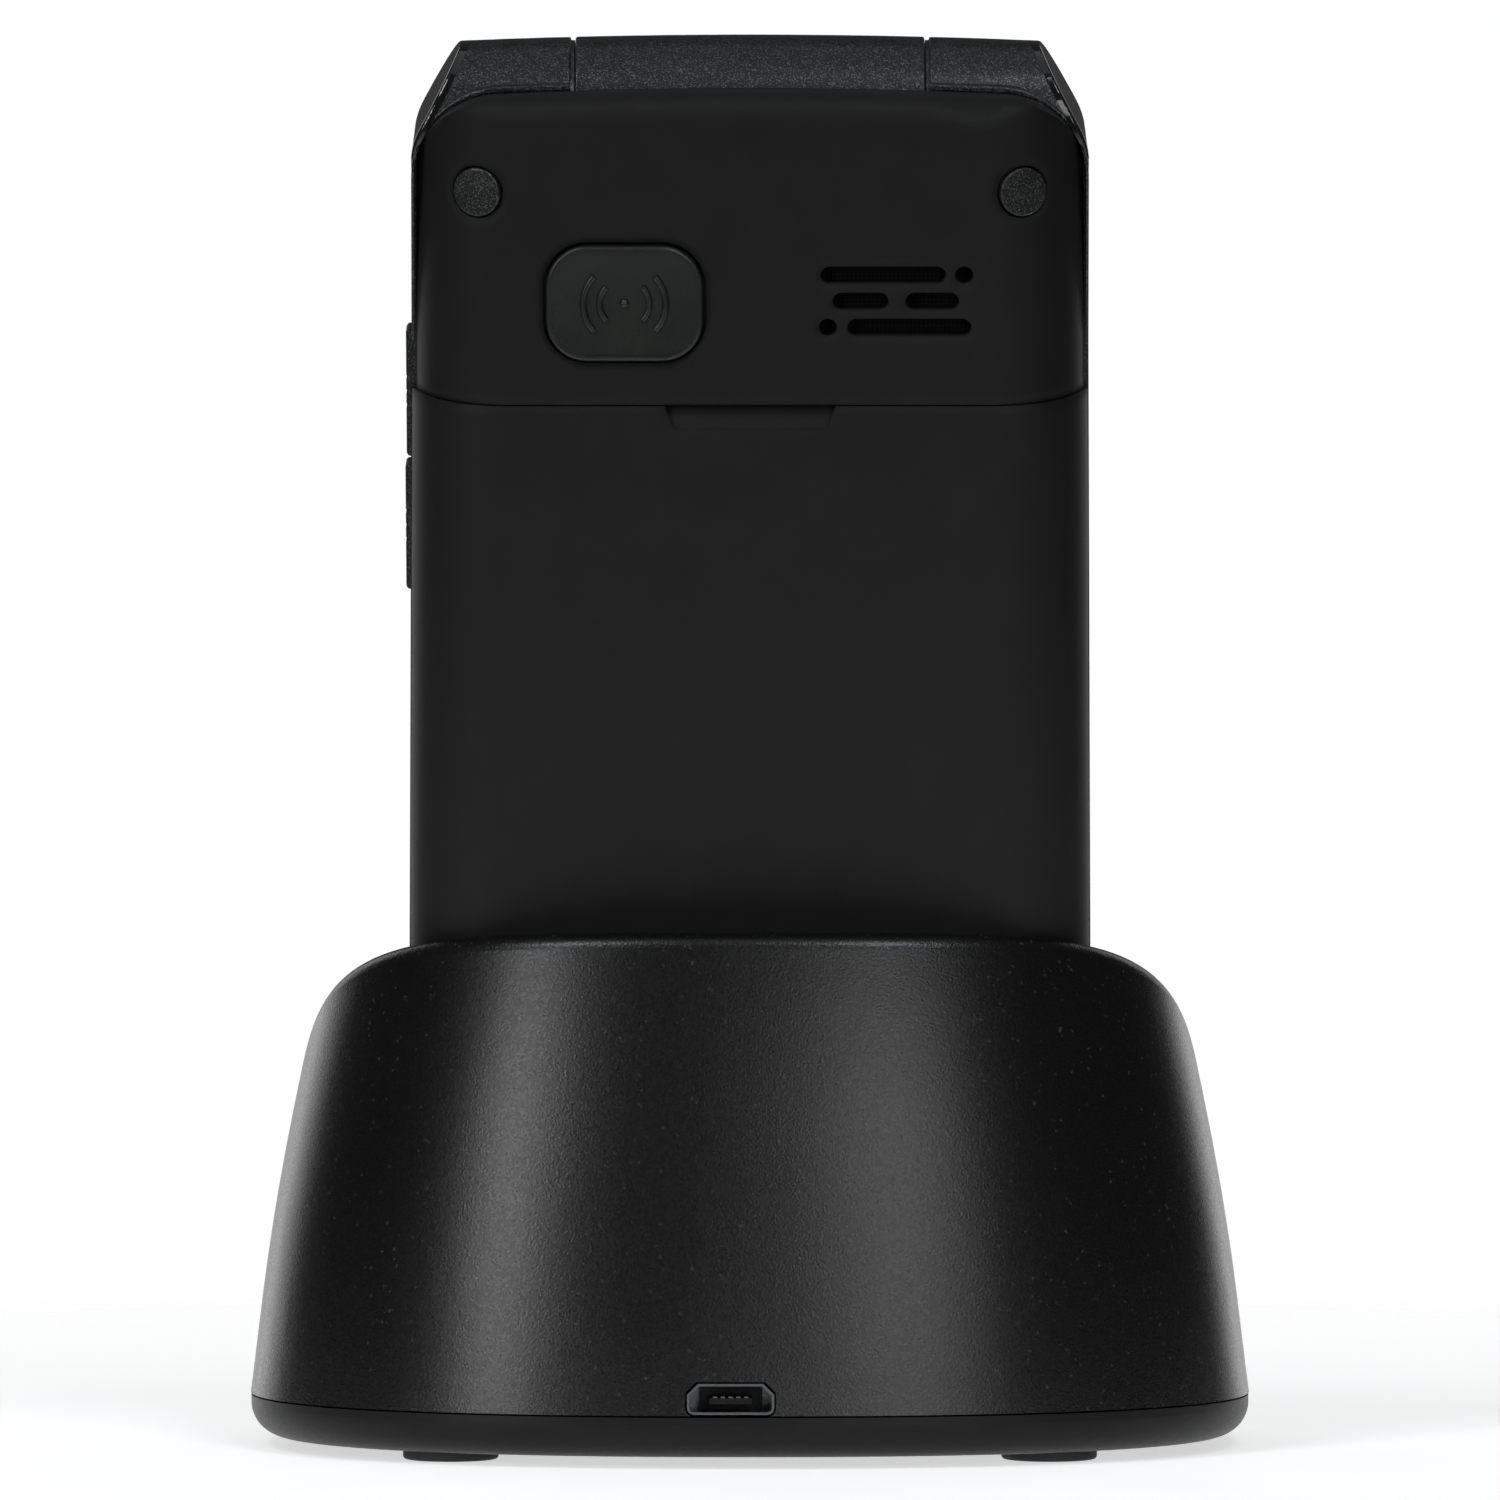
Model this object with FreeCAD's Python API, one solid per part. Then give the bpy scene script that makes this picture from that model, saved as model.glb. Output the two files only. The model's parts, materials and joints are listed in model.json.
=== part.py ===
"""Folding (clamshell) telephone standing in its desk charging cradle.

Units are millimetres.  +Z is up, the front of the object faces -Y and its back faces +Y.  The origin is
the centre of the bounding box on the surface the cradle stands on.

The telephone is modelled upright in its own frame and then leaned back into the cradle.  In that frame a
"height" is Z above its bottom end and a "depth" is the distance in front of its back face, so Y = -depth.
"""
import FreeCAD
import Part
import math
import os

V = FreeCAD.Vector
X_AXIS = V(1, 0, 0)
Y_AXIS = V(0, 1, 0)
Z_AXIS = V(0, 0, 1)

# ------------------------------------------------------------------ placing
BASE_Y = -2.4              # cradle centre, so that the whole bounding box is centred on Y = 0
LEAN_DEG = 14.0            # how far the telephone leans back
SEAT_Y = 10.0              # back bottom edge of the telephone, from the cradle's centre
SEAT_Z = 10.1              # and its height above the table

# ------------------------------------------------------------------ telephone body
PHONE_LENGTH = 109.1
HALF_WIDTH = 28.95         # at the bottom end
TAPER = 0.0105             # half-width lost per millimetre of height
SHELL_DEPTH = 7.0          # parting plane between the rear mouldings and the front frame
BODY_DEPTH = 11.0          # front face of the lower half
SEAM_HEIGHT = 80.1         # top of the battery cover
HOUSING_TOP = 106.0        # top edge of the rear housing at the middle
HOUSING_SIDE_TOP = 105.2   # and at its sides: the edge is slightly arched
HOUSING_CORNER = 7.0
HOUSING_INSET = 0.3        # rear housing is this much narrower than the cover
HOUSING_RIM = 1.8          # rounding of its top edge
BACK_ROUND = 8.0           # rounding of the long back edges
SEAM_GAP = 0.15
NOTCH_TALL = 2.1           # thumb notch below the seam
NOTCH_TOP_X = 7.45
NOTCH_BOTTOM_X = 6.3
NOTCH_DEPTH = 0.7
NOTCH_FOOT = 0.12          # depth left at the notch's lower edge
WALL = 1.2

# hinge
BARREL_RADIUS = 6.5
HINGE_DEPTH = 10.0
HINGE_HEIGHT = PHONE_LENGTH - BARREL_RADIUS
KNUCKLE_GAP_X = 14.6       # middle of the gap between knuckles
KNUCKLE_GAP = 0.36
HUB_STEP = 0.45            # the hub that fills the gap is this much smaller in radius
HUB_CLEARANCE = 0.06
CROWN_DROP = 0.5           # barrel radius lost at CROWN_X
CROWN_X = 24.0
BARREL_CLEARANCE = 0.35
PIN_RADIUS = 1.5
PIN_CLEARANCE = 0.05
CAP_THICKNESS = 0.6
KNUCKLE_EASE = 0.2         # rounding of the knuckles' ends
COLLAR_DEPTH = 4.0         # back face of the frame's ledge around the rear housing's corners
COLLAR_LEDGE = 0.5
COLLAR_SLIT = 0.08
COLLAR_FULL = 99.0         # above this height the collar has its full depth
COLLAR_START = 84.0        # and it runs out into the frame's edge here
SHOULDER_HEIGHT = 101.0    # where the slanted shoulders begin
SHOULDER_TOP_X = 23.6      # half-width left at the very top
SHOULDER_ROUND = 7.0
KNUCKLE_CORNER = 0.6       # rounding where a shoulder meets the top of its knuckle
CORNER_CREST_X = 22.5      # the crown's slope here gives the line that the rounding runs into
CORNER_FROM_X = 24.3       # beyond this the rear housing's corners wrap over the hinge knuckles
CAP_ROUND = 0.3

# lid
LID_BACK = 11.3
LID_SPLIT = 14.2
LID_FRONT = 20.5
LID_BOTTOM = 5.0
LID_TOP = 99.5
LID_INSET = 0.3
LID_WALL = 1.4
MAIN_WINDOW = (0, 54.0, 41.0, 55.0)      # x, height, width, tall
FRONT_WINDOW = (0, 76.0, 30.0, 22.0)
EARPIECE_HEIGHT = 88.5

# keypad
PAD_FLOOR = 10.6           # recessed field around the keys
PLATE_BACK = 9.3           # inner face of the keypad plate
KEY_TOP = 11.1
KEY_FOOT = 8.8
KEY_FLANGE = 0.3
KEY_GAP = 0.2
FLANGE_REACH = 0.6
DOME_FRONT = 8.35
BOARD_FRONT = 8.05
BOARD_BACK = 7.25
DIGIT_NAMES = ["1", "2", "3", "4", "5", "6", "7", "8", "9", "star", "0", "hash"]
DIGIT_COLUMNS = 3
DIGIT_PITCH_X = 16.6
DIGIT_PITCH_Z = 9.6
DIGIT_WIDTH = 15.0
DIGIT_TALL = 8.0
DIGIT_ROUND = 2.4
DIGIT_FIRST_Z = 42.6
SIDE_KEY_X = 17.3          # call, end and soft keys
SIDE_KEY_WIDTH = 13.6
SIDE_KEY_TALL = 8.6
SIDE_KEY_ROUND = 3.0
CALL_HEIGHT = 53.2
SOFT_HEIGHT = 63.6
NAVIGATION = (0, 58.4, 17.0, 19.0, 7.0)  # x, height, width, tall, corner radius

# alarm key on the back
ALARM_X = 10.33
ALARM_HEIGHT = 88.77
ALARM_WIDTH = 12.9
ALARM_TALL = 9.7
ALARM_ROUND = 3.4
ALARM_RISE = 0.5
ALARM_DISH = 0.38
ALARM_GAP = 0.25
ALARM_RIM = 0.45           # width of the raised rim round the dish
ALARM_DISH_RADIUS = 58.0
ALARM_ARC_RADII = (2.05, 3.4)
ALARM_SPREAD_DEG = 42.0    # each arc spans this much either side of the level line
ALARM_RIDGE = 0.28
ALARM_DOT = 0.4

# volume keys on the side
SIDE_KEY_RISE = 0.45
SIDE_KEYS = {"volume_up_key": (74.0, 84.8), "volume_down_key": (62.6, 73.3)}
SIDE_KEY_BACK = 7.6
SIDE_KEY_FRONT = 10.2
SIDE_GAP = 0.2

# plugs over the housing screws
PLUG_X = 22.45
PLUG_HEIGHT = 98.0
PLUG_RADIUS = 2.03
PLUG_GAP = 0.17
PLUG_RISE = 0.2
PLUG_DOME = 22.0           # radius of the domed face
PLUG_SEAT = 0.7            # depth of the plug's recess
LOWER_SCREW_X = 23.0
LOWER_SCREW_HEIGHT = 6.5
SCREW_END = 9.1            # depth that the housing screws reach

# loudspeaker
SPEAKER_X = -12.0
SPEAKER_HEIGHT = 89.0
SLOT_TALL = 1.5
SLOT_PITCH = 2.2
GRILLE_LEFT = -18.2
GRILLE_RIGHT = -5.8

# charging contacts
CONTACT_X = 6.0
CONTACT_DEPTH = 9.0
CONTACT_PIN_RADIUS = 0.6

# ------------------------------------------------------------------ cradle
PLAN_POWER = 2.3           # superellipse exponent of the plan
CRADLE_SECTIONS = [        # height, half-width, half-depth of the outer surface
    (4.5, 42.4, 30.5),
    (12.5, 41.4, 29.8),
    (21.0, 40.15, 28.9),
    (29.5, 38.55, 27.8),
    (38.0, 36.7, 26.3),
    (50.0, 33.3, 23.8),
]
CRADLE_WALL = 2.2
SEAM_Z = 4.5
SEAM_GROOVE = 0.15
TRAY_BOTTOM = 0.9
TRAY_ROUND = 2.8
TRAY_FLOOR = 2.6
RIM_Z = 44.2               # top of the back wall
RIM_Y = 25.0
REAR_ARC = 34.0            # convex sweep of the top, falling forwards
REAR_SWEEP_DEG = 65.0
DIP_ARC = 12.0             # concave sweep into the low front
FRONT_ARC = 35.0           # convex front deck
RIM_ROUND = 1.6
POCKET_GAP = 0.35
LIP_HEIGHT = 4.0           # front lip, measured up the telephone
LID_ROOM = 29.4            # half-width of the open front
FOOT_RADIUS = 4.0
FOOT_X = 25.0
FOOT_Y = 17.5
FOOT_TOP = 1.4
LIGHT_Y = -23.0
LIGHT_RADIUS = 1.5

# micro-USB socket in the cradle's back wall
USB_X = 1.6
USB_WIDTH = 7.2
USB_TALL = 2.55
USB_BOTTOM = 4.6
USB_CHAMFER = 0.9
USB_ROUND = 0.6            # its two lower corners
USB_WALL = 0.2
USB_FACE_Y = 30.2
USB_LENGTH = 5.0
USB_PITCH = 0.65
TONGUE_Z = 5.42
TONGUE_TALL = 0.5


# ================================================================== helpers
def box(x0, x1, y0, y1, z0, z1):
    return Part.makeBox(abs(x1 - x0), y1 - y0, z1 - z0, V(min(x0, x1), y0, z0))


def rod(radius, start, end):
    return Part.makeCylinder(radius, (end - start).Length, start, end - start)


def fuse(first, *others):
    return first.fuse(list(others)).removeSplitter() if others else first


def cut(shape, *tools):
    return shape.cut(list(tools))


def runs_along(edge, axis):
    if edge.Curve.TypeId != "Part::GeomLine":
        return False
    span = edge.Vertexes[-1].Point - edge.Vertexes[0].Point
    return abs(span.dot(axis)) > 0.99 * span.Length


def round_edges(shape, radius, wanted):
    return shape.makeFillet(radius, [edge for edge in shape.Edges if wanted(edge)])


def slab(x, height, width, tall, back, front, radius=0.0):
    """Block facing the telephone's front or back, centred on (x, height), with rounded corners."""
    block = box(x - width / 2, x + width / 2, -front, -back, height - tall / 2, height + tall / 2)
    if radius:
        block = round_edges(block, radius, lambda edge: runs_along(edge, Y_AXIS))
    return block


def stud(x, height, radius, back, front):
    """Cylinder along the telephone's depth."""
    return rod(radius, V(x, -back, height), V(x, -front, height))


def single(shape):
    """The one solid of a shape that should hold just one."""
    return max(shape.Solids, key=lambda solid: solid.Volume)


def stand_in_cradle(shape):
    """Lean a shape given in the telephone's own frame and set it down in the cradle."""
    shape.rotate(V(0, 0, 0), X_AXIS, -LEAN_DEG)
    shape.translate(V(0, SEAT_Y, SEAT_Z))
    return shape


# ================================================================== telephone outlines
def half_width(height, inset=0.0):
    return HALF_WIDTH - TAPER * height - inset


def wedge(bottom, top, back, front, inset=0.0):
    """Slab of the telephone between two heights and two depths; its sides converge upwards."""
    low, high = half_width(bottom, inset), half_width(top, inset)
    corners = [V(-low, -back, bottom), V(low, -back, bottom), V(high, -back, top), V(-high, -back, top)]
    return Part.Face(Part.makePolygon(corners + corners[:1])).extrude(V(0, back - front, 0))


def corner_rounded(shape, middle, low_radius, high_radius):
    """Round the corners of an outline below and above a middle height."""
    if low_radius:
        shape = round_edges(shape, low_radius, lambda edge: runs_along(edge, Y_AXIS)
                            and edge.CenterOfMass.z < middle)
    if high_radius:
        shape = round_edges(shape, high_radius, lambda edge: runs_along(edge, Y_AXIS)
                            and edge.CenterOfMass.z > middle)
    return shape


def backed(bottom, top, back, front, inset, radius):
    """Wedge whose two long back edges are rounded."""
    return round_edges(wedge(bottom, top, back, front, inset), radius,
                       lambda edge: abs(edge.CenterOfMass.y + back) < 0.01
                       and abs(edge.Vertexes[0].Z - edge.Vertexes[-1].Z) > 5)


def phone_block(bottom, top, back, front, inset=0.0, low_radius=0.0, high_radius=0.0, back_radius=0.0):
    middle = (bottom + top) / 2
    outline = corner_rounded(wedge(bottom, top, back, front, inset), middle, low_radius, high_radius)
    if not back_radius:
        return outline
    return outline.common(backed(bottom, top, back, front, inset, back_radius))


def arched_outline(bottom, side_top, middle_top, inset, back, front, corner, rim):
    """Outline with an arched top edge, rounded top corners and a rounded back rim."""
    low, high = half_width(bottom, inset), half_width(side_top, inset)
    left, right = V(-high, -back, side_top), V(high, -back, side_top)
    edges = [
        Part.makeLine(V(-low, -back, bottom), V(low, -back, bottom)),
        Part.makeLine(V(low, -back, bottom), right),
        Part.Arc(right, V(0, -back, middle_top), left).toShape(),
        Part.makeLine(left, V(-low, -back, bottom)),
    ]
    block = Part.Face(Part.Wire(edges)).extrude(V(0, back - front, 0))
    block = corner_rounded(block, (bottom + side_top) / 2, 0, corner)
    if not rim:
        return block
    return round_edges(block, rim, lambda edge: edge.BoundBox.YMin > -back - 0.01
                       and edge.BoundBox.ZMax > bottom + 0.01)


def shoulder_point():
    """Right-hand end of the straight side, where the slanted shoulder starts."""
    return V(half_width(SHOULDER_HEIGHT) + 0.05, 0, SHOULDER_HEIGHT)


def shoulder_outline(grow=0.0):
    """Outline of the hinge end: a straight slanted shoulder at each side."""
    low = shoulder_point() + V(grow, 0, 0)
    top = V(SHOULDER_TOP_X + grow, 0, PHONE_LENGTH)
    slope = 2 * CROWN_DROP * CORNER_CREST_X / CROWN_X ** 2
    crest = PHONE_LENGTH - CROWN_DROP * (CORNER_CREST_X / CROWN_X) ** 2 + 0.02 + grow
    ridge = V(0, 0, crest + slope * CORNER_CREST_X)
    run = (top.x - low.x) / (top.z - low.z)
    corner_z = (ridge.z - slope * (low.x - run * low.z)) / (1 + slope * run)
    corner = V(low.x + run * (corner_z - low.z), 0, corner_z)
    corners = [V(-low.x, 0, 80), V(low.x, 0, 80), low, corner, ridge, V(-corner.x, 0, corner.z),
               V(-low.x, 0, low.z)]
    block = Part.Face(Part.makePolygon(corners + corners[:1])).extrude(V(0, -30, 0))
    block = round_edges(block, KNUCKLE_CORNER, lambda edge: runs_along(edge, Y_AXIS)
                        and abs(edge.CenterOfMass.z - corner.z) < 0.1)
    return round_edges(block, SHOULDER_ROUND, lambda edge: runs_along(edge, Y_AXIS)
                       and abs(edge.CenterOfMass.z - low.z) < 0.1)


def hinge_axis_point(x):
    return V(x, -HINGE_DEPTH, HINGE_HEIGHT)


def barrel(x0, x1):
    """Crowned hinge barrel between two X positions."""
    def radius(x):
        return BARREL_RADIUS - CROWN_DROP * (x / CROWN_X) ** 2
    middle = (x0 + x1) / 2
    arc = Part.Arc(V(x0, radius(x0), 0), V(middle, radius(middle), 0), V(x1, radius(x1), 0)).toShape()
    edges = [arc, Part.makeLine(V(x1, radius(x1), 0), V(x1, 0, 0)), Part.makeLine(V(x1, 0, 0), V(x0, 0, 0)),
             Part.makeLine(V(x0, 0, 0), V(x0, radius(x0), 0))]
    solid = Part.Face(Part.Wire(edges)).revolve(V(0, 0, 0), X_AXIS, 360)
    solid.translate(hinge_axis_point(0))
    return solid


def eased_barrel(x0, x1):
    """Hinge barrel with its end edges rounded."""
    return round_edges(barrel(x0, x1), KNUCKLE_EASE, lambda edge: edge.BoundBox.XLength < 0.01)


def barrel_room(x0, x1, clearance=BARREL_CLEARANCE):
    return rod(BARREL_RADIUS + clearance, hinge_axis_point(x0), hinge_axis_point(x1))


def mirrored(shape):
    return shape.mirror(V(0, 0, 0), X_AXIS)


# ================================================================== rear of the telephone
def grille_cuts():
    """Three rows of slots and dots; the rows are offset sideways."""
    half = SLOT_TALL / 2
    row_z = [SPEAKER_HEIGHT + 2.1, SPEAKER_HEIGHT - 0.1, SPEAKER_HEIGHT - 2.3]
    runs = [  # row, start and end of a slot
        (0, GRILLE_RIGHT, GRILLE_RIGHT - 10.3),
        (1, GRILLE_RIGHT - 1.0, GRILLE_RIGHT - 5.6),
        (1, GRILLE_RIGHT - 7.0, GRILLE_RIGHT - 11.4),
        (2, GRILLE_RIGHT - 2.2, GRILLE_LEFT),
    ]
    tools = []
    for row, right, left in runs:
        width = right - left
        tools.append(slab((left + right) / 2, row_z[row], width, SLOT_TALL, -1, 1.6, half - 0.01))
    tools.append(stud(GRILLE_LEFT + 0.6, row_z[0], half, -1, 1.6))
    tools.append(stud(GRILLE_RIGHT - 0.6, row_z[2], half, -1, 1.6))
    return tools


def on_back_rounding(side, shape):
    """Tilt a part that stands on the flat back so that it follows the rounded back edge at the plugs."""
    flat_x = half_width(PLUG_HEIGHT, HOUSING_INSET) - BACK_ROUND
    tilt = math.asin((PLUG_X - flat_x) / BACK_ROUND)
    shape.rotate(V(side * PLUG_X, 0, PLUG_HEIGHT), Z_AXIS, -side * math.degrees(tilt))
    shape.translate(V(0, -BACK_ROUND * (1 - math.cos(tilt)), 0))
    return shape


def rear_housing():
    full = arched_outline(60, HOUSING_SIDE_TOP, HOUSING_TOP, HOUSING_INSET, 0, 9, HOUSING_CORNER,
                          HOUSING_RIM)
    outer = full.common(backed(60, 112, 0, 9, HOUSING_INSET, BACK_ROUND))
    keep = box(-40, 40, -SHELL_DEPTH, 1, SEAM_HEIGHT + SEAM_GAP / 2, 120)
    outer = outer.common(keep)
    hollow = phone_block(60, HOUSING_SIDE_TOP - WALL, WALL, 9, HOUSING_INSET + WALL, 0,
                         HOUSING_CORNER - WALL, BACK_ROUND - WALL)
    hollow = hollow.common(box(-40, 40, -20, 1, SEAM_HEIGHT + WALL, 120))
    shell = cut(outer, hollow)
    floor = phone_block(3, SEAM_HEIGHT + WALL, SHELL_DEPTH - 0.8, SHELL_DEPTH, 1.8, 5.5)
    floor = cut(floor, slab(0, 78, 20, 6, 6, 8))
    shell = fuse(shell, floor)
    for side in (-1, 1):
        shell = fuse(shell, stud(side * PLUG_X, PLUG_HEIGHT, 3.0, 1.0, SHELL_DEPTH).common(outer))
        seat = stud(side * PLUG_X, PLUG_HEIGHT, PLUG_RADIUS + PLUG_GAP, -1, PLUG_SEAT)
        hole = on_back_rounding(side, seat)
        shell = cut(shell, hole, stud(side * PLUG_X, PLUG_HEIGHT, 1.6, 0, 3.0),
                    stud(side * PLUG_X, PLUG_HEIGHT, 0.95, 2.5, 8),
                    stud(side * LOWER_SCREW_X, LOWER_SCREW_HEIGHT, 0.95, 6, 8),
                    slab(side * 14, SEAM_HEIGHT + 0.6, 6.4, 1.6, 1.6, 2.9))
    opening = slab(ALARM_X, ALARM_HEIGHT, ALARM_WIDTH + 2 * ALARM_GAP, ALARM_TALL + 2 * ALARM_GAP, -1, 2,
                   ALARM_ROUND + ALARM_GAP)
    shell = cut(shell, opening, barrel_room(-CORNER_FROM_X, CORNER_FROM_X), *grille_cuts())
    return single(shell)


def battery_cover():
    outer = phone_block(0, 100, 0, 11, 0, 7.0, 0, BACK_ROUND)
    outer = outer.common(box(-40, 40, -SHELL_DEPTH, 1, -1, SEAM_HEIGHT - SEAM_GAP / 2))
    hollow = phone_block(1.2, 100, WALL - 0.1, 11, WALL, 6.0, 0, BACK_ROUND - WALL)
    shell = cut(outer, hollow)
    for side in (-1, 1):
        root = slab(side * 14, SEAM_HEIGHT - 1.4, 6, 2.4, 0.9, 2.75)
        tip = slab(side * 14, SEAM_HEIGHT, 6, 2.2, 1.75, 2.75)
        shell = fuse(shell, root, tip)
    return single(cut(shell, thumb_notch()))


def thumb_notch():
    """Shallow sloped recess at the top of the cover: deepest at the seam, running out below."""
    bottom = SEAM_HEIGHT - NOTCH_TALL
    top = SEAM_HEIGHT + 1
    plan = [V(-NOTCH_TOP_X, 1, top), V(NOTCH_TOP_X, 1, top), V(NOTCH_BOTTOM_X, 1, bottom),
            V(-NOTCH_BOTTOM_X, 1, bottom)]
    block = Part.Face(Part.makePolygon(plan + plan[:1])).extrude(V(0, -3, 0))
    block = round_edges(block, 0.9, lambda edge: runs_along(edge, Y_AXIS)
                        and edge.CenterOfMass.z < bottom + 0.1)
    side = [V(-20, 1, bottom), V(-20, -NOTCH_FOOT, bottom), V(-20, -NOTCH_DEPTH, SEAM_HEIGHT),
            V(-20, -NOTCH_DEPTH, top), V(-20, 1, top)]
    return block.common(Part.Face(Part.makePolygon(side + side[:1])).extrude(V(40, 0, 0)))


def alarm_marks():
    """Raised waves: a dot and two pairs of arcs, each a half-sunk round ridge on the dished face."""
    dish_bottom = ALARM_RISE - ALARM_DISH
    marks = [Part.makeSphere(ALARM_DOT, V(ALARM_X, dish_bottom, ALARM_HEIGHT))]
    reach = 6.0
    lift = reach * math.tan(math.radians(ALARM_SPREAD_DEG))
    for radius in ALARM_ARC_RADII:
        rise = dish_bottom + radius ** 2 / (2 * ALARM_DISH_RADIUS)
        ring = Part.makeTorus(radius, ALARM_RIDGE, V(ALARM_X, rise, ALARM_HEIGHT), Y_AXIS)
        for side in (-1, 1):
            corners = [V(ALARM_X, 3, ALARM_HEIGHT), V(ALARM_X + side * reach, 3, ALARM_HEIGHT + lift),
                       V(ALARM_X + side * reach, 3, ALARM_HEIGHT - lift)]
            sector = Part.Face(Part.makePolygon(corners + corners[:1])).extrude(V(0, -6, 0))
            marks.append(ring.common(sector))
    return marks


def alarm_key():
    cap = slab(ALARM_X, ALARM_HEIGHT, ALARM_WIDTH, ALARM_TALL, -ALARM_RISE, 2.6, ALARM_ROUND)
    cap = round_edges(cap, 0.3, lambda edge: edge.BoundBox.YMin > ALARM_RISE - 0.01)
    dish_centre = ALARM_RISE - ALARM_DISH + ALARM_DISH_RADIUS
    dish = Part.makeSphere(ALARM_DISH_RADIUS, V(ALARM_X, dish_centre, ALARM_HEIGHT))
    inside = slab(ALARM_X, ALARM_HEIGHT, ALARM_WIDTH - 2 * ALARM_RIM, ALARM_TALL - 2 * ALARM_RIM, -3, 1,
                  ALARM_ROUND - ALARM_RIM)
    cap = cut(cap, dish.common(inside))
    flange = slab(ALARM_X, ALARM_HEIGHT, ALARM_WIDTH + 1.6, ALARM_TALL + 1.6, 1.6, 2.3, ALARM_ROUND)
    return single(fuse(cap, flange, *alarm_marks()))


def screw_plugs():
    """Discs with a slightly domed face."""
    plugs = []
    for side in (-1, 1):
        plug = stud(side * PLUG_X, PLUG_HEIGHT, PLUG_RADIUS, -PLUG_RISE, PLUG_SEAT - 0.05)
        dome = Part.makeSphere(PLUG_DOME, V(side * PLUG_X, PLUG_RISE - PLUG_DOME, PLUG_HEIGHT))
        plug = plug.common(dome)
        plug = round_edges(plug, 0.15, lambda edge: edge.BoundBox.YMin > -0.1)
        plugs.append(single(on_back_rounding(side, plug)))
    return Part.makeCompound(plugs)


def housing_screws():
    screws = []
    for side in (-1, 1):
        for x, height, head in ((PLUG_X, PLUG_HEIGHT, 1.95), (LOWER_SCREW_X, LOWER_SCREW_HEIGHT, 5.15)):
            x *= side
            screw = fuse(stud(x, height, 1.5, head, head + 1.0), stud(x, height, 0.8, head, SCREW_END))
            slot = slab(x, height, 0.4, 2.0, head - 1, head + 0.4)
            cross = slab(x, height, 2.0, 0.4, head - 1, head + 0.4)
            screws.append(single(cut(screw, slot, cross)))
    return Part.makeCompound(screws)


def loudspeaker():
    capsule = slab(SPEAKER_X, SPEAKER_HEIGHT, 15, 11, 1.6, 4.8, 3.5)
    return fuse(capsule, slab(SPEAKER_X, SPEAKER_HEIGHT, 9, 6, 4.8, 5.6, 2.0))


def speaker_mesh():
    return slab(SPEAKER_X, SPEAKER_HEIGHT, 14.4, 9.0, WALL, WALL + 0.2, 2.0)


# ================================================================== front half of the telephone
def keypad_layout():
    """Key name to (x, height, width, tall, corner radius)."""
    layout = {}
    for index, name in enumerate(DIGIT_NAMES):
        column, row = index % DIGIT_COLUMNS, index // DIGIT_COLUMNS
        x = (column - 1) * DIGIT_PITCH_X
        height = DIGIT_FIRST_Z - row * DIGIT_PITCH_Z
        layout["key_" + name] = (x, height, DIGIT_WIDTH, DIGIT_TALL, DIGIT_ROUND)
    size = (SIDE_KEY_WIDTH, SIDE_KEY_TALL, SIDE_KEY_ROUND)
    for side, call, soft in ((-1, "key_call", "key_soft_left"), (1, "key_end", "key_soft_right")):
        layout[call] = (side * SIDE_KEY_X, CALL_HEIGHT, *size)
        layout[soft] = (side * SIDE_KEY_X, SOFT_HEIGHT, *size)
    layout["key_navigation"] = NAVIGATION
    return layout


def key_shape(x, height, width, tall, radius):
    cap = slab(x, height, width, tall, KEY_FOOT, KEY_TOP, radius)
    cap = round_edges(cap, 0.3, lambda edge: edge.BoundBox.YMax < -KEY_TOP + 0.01)
    flange = slab(x, height, width + 2 * FLANGE_REACH, tall + 2 * FLANGE_REACH, KEY_FOOT,
                  KEY_FOOT + KEY_FLANGE, radius)
    return single(fuse(cap, flange))


def shoulder_directions():
    """Unit vectors along the right-hand slanted shoulder and out of it."""
    along = (V(SHOULDER_TOP_X, 0, PHONE_LENGTH) - shoulder_point()).normalize()
    return along, V(along.z, 0, -along.x)


def shoulder_plane_block(side, inset):
    """Everything beyond the slanted shoulder plane of one side, moved in by inset."""
    along, outward = shoulder_directions()
    start = shoulder_point() - outward * inset - along * 20
    far = start + along * 60
    corners = [start, far, far + outward * 20, start + outward * 20]
    block = Part.Face(Part.makePolygon(corners + corners[:1])).extrude(V(0, -40, 0))
    return block if side > 0 else mirrored(block)


def outer_knuckle(side):
    start = KNUCKLE_GAP_X + KNUCKLE_GAP / 2
    knuckle = eased_barrel(start, 30).common(shoulder_outline())
    return knuckle if side > 0 else mirrored(knuckle)


def housing_collar():
    """Narrow ledge of the front frame that follows the rear housing's top corners."""
    outer = arched_outline(82, HOUSING_SIDE_TOP + COLLAR_LEDGE, HOUSING_TOP + COLLAR_LEDGE, 0, COLLAR_DEPTH,
                           SHELL_DEPTH + 1, HOUSING_CORNER + COLLAR_LEDGE, 0.2)
    middle = KNUCKLE_GAP_X + KNUCKLE_GAP / 2
    slope = [V(-40, 1, 78), V(-40, -20, 78), V(-40, -20, COLLAR_START), V(-40, -SHELL_DEPTH, COLLAR_START),
             V(-40, -COLLAR_DEPTH, COLLAR_FULL), V(-40, 1, COLLAR_FULL)]
    taper = Part.Face(Part.makePolygon(slope + slope[:1])).extrude(V(80, 0, 0))
    return cut(outer, housing_room(), box(-middle, middle, -20, 0, 80, 115),
               box(-40, 40, -20, -SHELL_DEPTH, 80, COLLAR_FULL - 1), taper)


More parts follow.
